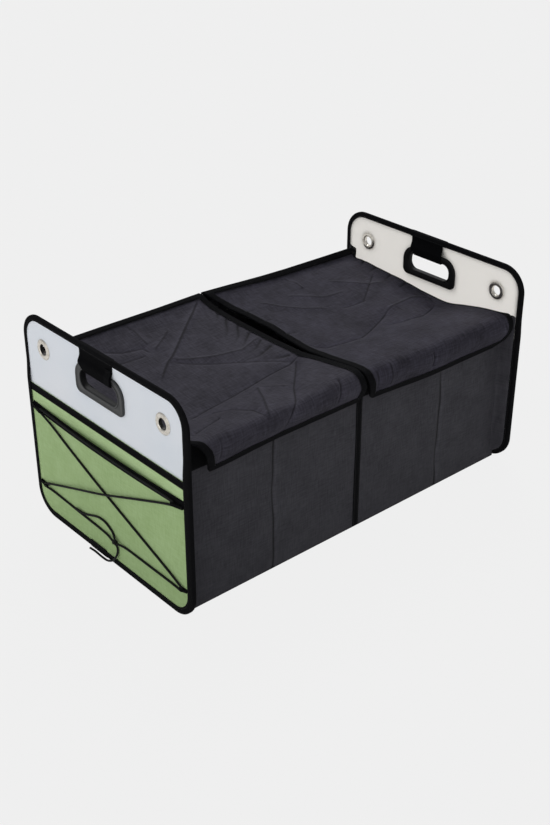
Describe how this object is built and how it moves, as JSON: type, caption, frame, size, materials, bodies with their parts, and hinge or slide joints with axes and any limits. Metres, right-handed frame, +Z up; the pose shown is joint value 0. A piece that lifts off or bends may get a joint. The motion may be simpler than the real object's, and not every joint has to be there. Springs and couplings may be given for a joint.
{
  "type": "car boot storage box",
  "caption": "Folding fabric storage box with a divider, stiff end panels with hand holes and eyelets, soft hinged lids and an elastic-laced end pocket.",
  "frame": {"origin": "under the middle of the floor, on the surface the box stands on", "axes": "+X along the box towards the end board without the laced cord, +Y towards the back wall that the lids are sewn to, +Z up"},
  "size_m": [0.6161, 0.356, 0.309],
  "materials": {
    "end_board": "satin translucent sheet",
    "nickel": "bright nickel plate",
    "handle_plastic": "fine matt texture",
    "elastic_cord": "braided sleeve",
    "pocket_fabric": "plain woven polyester",
    "black_webbing": "ribbed binding tape",
    "body_fabric": "plain woven polyester"
  },
  "bodies": {
    "box": {"back_rim_tape_left": "black_webbing", "back_rim_tape_right": "black_webbing", "back_seam_tape": "black_webbing", "back_wall_left": "body_fabric", "back_wall_right": "body_fabric", "base_board_left": "body_fabric", "base_board_right": "body_fabric", "bungee_cord": "elastic_cord", "bungee_knot": "elastic_cord", "bungee_tail_lower": "elastic_cord", "bungee_tail_upper": "elastic_cord", "cord_tab_back_high": "black_webbing", "cord_tab_back_low": "black_webbing", "cord_tab_front_high": "black_webbing", "cord_tab_front_low": "black_webbing", "divider": "body_fabric", "divider_tape": "black_webbing", "far_edge_tape": "black_webbing", "far_end_board": "end_board", "far_eyelet_back": "nickel", "far_eyelet_front": "nickel", "far_facing": "pocket_fabric", "far_facing_tape": "black_webbing", "far_grip_strap": "black_webbing", "far_handle_frame": "handle_plastic", "far_handle_ring": "handle_plastic", "far_pocket": "pocket_fabric", "far_pocket_tape": "black_webbing", "far_washer_back": "nickel", "far_washer_front": "nickel", "floor_fabric": "body_fabric", "front_band_left": "black_webbing", "front_band_right": "black_webbing", "front_seam_tape": "black_webbing", "front_wall_left": "body_fabric", "front_wall_right": "body_fabric", "near_edge_tape": "black_webbing", "near_end_board": "end_board", "near_eyelet_back": "nickel", "near_eyelet_front": "nickel", "near_facing": "pocket_fabric", "near_facing_tape": "black_webbing", "near_grip_strap": "black_webbing", "near_handle_frame": "handle_plastic", "near_handle_ring": "handle_plastic", "near_pocket": "pocket_fabric", "near_pocket_tape": "black_webbing", "near_washer_back": "nickel", "near_washer_front": "nickel"},
    "left_lid": {"left_lid": "body_fabric", "left_lid_tape": "black_webbing"},
    "right_lid": {"right_lid": "body_fabric", "right_lid_tape": "black_webbing"}
  },
  "joints": [
    {"name": "left_lid_hinge", "type": "hinge", "parent": "box", "child": "left_lid", "pos_m": [0, 0.155, 0.2555], "axis": [-1, 0, 0], "range_deg": [0, 225]},
    {"name": "right_lid_hinge", "type": "hinge", "parent": "box", "child": "right_lid", "pos_m": [0, 0.155, 0.2555], "axis": [-1, 0, 0], "range_deg": [0, 225]}
  ]
}
